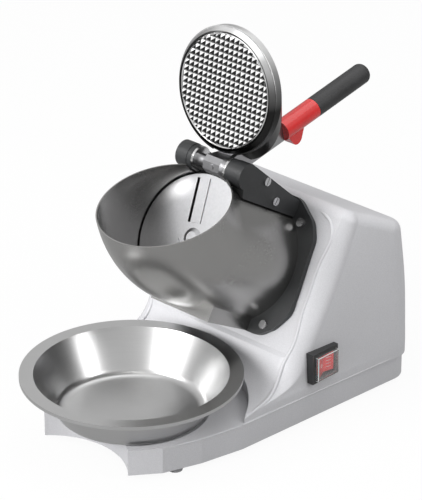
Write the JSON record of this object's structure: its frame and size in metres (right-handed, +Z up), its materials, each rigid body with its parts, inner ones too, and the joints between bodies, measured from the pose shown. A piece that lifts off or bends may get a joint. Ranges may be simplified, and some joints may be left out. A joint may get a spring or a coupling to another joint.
{
  "type": "electric ice shaver",
  "caption": "Electric ice shaver: grey housing, tilted steel hopper, swinging toothed press lid with red and black lever, blade disc on a motor and a steel catch bowl in front.",
  "frame": {"origin": "middle of the bounding box on the plane under the feet", "axes": "+Z up, +Y to the back where the lever points, +X to the side with the rocker switch; the bowl is at -Y"},
  "size_m": [0.2352, 0.4262, 0.3854],
  "materials": {
    "housing_plastic": "fine textured silver-grey plastic",
    "black_casting": "black painted casting",
    "brushed_hopper": "brushed stainless sheet",
    "bowl_steel": "spun stainless steel",
    "polished_metal": "polished",
    "machined_steel": "machined steel",
    "fasteners": "zinc plated",
    "cover_black": "black moulded plastic",
    "grip_black": "soft black grip",
    "guard_red": "glossy red plastic",
    "stop_nylon": "pale nylon",
    "rubber_black": "moulded rubber",
    "cover_grey": "dark grey plastic",
    "motor_metal": "die-cast",
    "motor_steel": "plated steel",
    "laminations": "stacked laminations",
    "copper": "enamelled copper winding",
    "fan_plastic": "moulded fan",
    "switch_black": "black switch plastic",
    "rocker_red": "translucent red",
    "splash_clear": "clear flexible cover",
    "tab_brass": "plated tabs",
    "capacitor_case": "smooth can",
    "terminal_plastic": "pale plastic"
  },
  "bodies": {
    "base": {"arm_cover_left": "black_casting", "arm_cover_right": "black_casting", "arm_cover_screws": "fasteners", "base_cover": "cover_grey", "capacitor": "capacitor_case", "chute": "brushed_hopper", "cord_gland": "rubber_black", "cover_screws": "fasteners", "foot_front_left": "rubber_black", "foot_front_right": "rubber_black", "foot_nuts": "fasteners", "foot_rear_left": "rubber_black", "foot_rear_right": "rubber_black", "foot_screws": "fasteners", "front_end_bell": "motor_metal", "hinge_bush_left": "polished_metal", "hinge_bush_right": "polished_metal", "hopper": "brushed_hopper", "hopper_screws": "fasteners", "housing": "housing_plastic", "interlock_body": "switch_black", "lever_stop": "stop_nylon", "motor_bracket": "motor_steel", "motor_case": "motor_steel", "mount_casting": "black_casting", "plate_screws": "fasteners", "rear_end_bell": "motor_metal", "shaft_bearings": "motor_steel", "shaft_seal": "rubber_black", "spade_tabs": "tab_brass", "splash_cover": "splash_clear", "stator_coils": "copper", "stator_core": "laminations", "switch_body": "switch_black", "terminal_block": "terminal_plastic", "tie_bolts": "fasteners"},
    "press_lid": {"hinge_pin": "machined_steel", "lid_ring": "polished_metal", "lid_bezel": "polished_metal", "lid_back_plate": "motor_steel", "lid_back_cover": "cover_black", "tooth_plate": "polished_metal", "lid_bracket": "machined_steel", "lid_rivets": "machined_steel", "lever_bar": "machined_steel", "lever_guard": "guard_red", "lever_grip": "grip_black"},
    "rotor": {"blade_disc": "machined_steel", "blade_1": "machined_steel", "blade_2": "machined_steel", "blade_3": "machined_steel", "disc_hub": "machined_steel", "disc_screw": "machined_steel", "ejector_fins": "machined_steel", "rotor_core": "laminations", "motor_shaft": "machined_steel", "cooling_fan": "fan_plastic"},
    "bowl_body": {"bowl": "bowl_steel"},
    "rocker_body": {"rocker": "rocker_red"},
    "plunger_body": {"interlock_plunger": "terminal_plastic"}
  },
  "joints": [
    {"name": "lid_hinge", "type": "hinge", "parent": "base", "child": "press_lid", "pos_m": [0, 0.01213, 0.25062], "axis": [1, 0, 0], "range_deg": [0, 155]},
    {"name": "blade_spin", "type": "hinge", "parent": "base", "child": "rotor", "pos_m": [0, 0.0502, 0.1405], "axis": [0, 0.8526, -0.5225], "continuous": true},
    {"name": "bowl_lift", "type": "slide", "parent": "base", "child": "bowl_body", "axis": [0, 0, 1], "range_m": [0, 0.01]},
    {"name": "rocker_rock", "type": "hinge", "parent": "base", "child": "rocker_body", "pos_m": [0.1075, 0.047, 0.0615], "axis": [0, 0, -1], "range_deg": [0, 14]},
    {"name": "plunger_press", "type": "slide", "parent": "base", "child": "plunger_body", "axis": [0, -0.5225, -0.8526], "range_m": [0, 0.0012], "stiffness_N_per_m": 300}
  ]
}
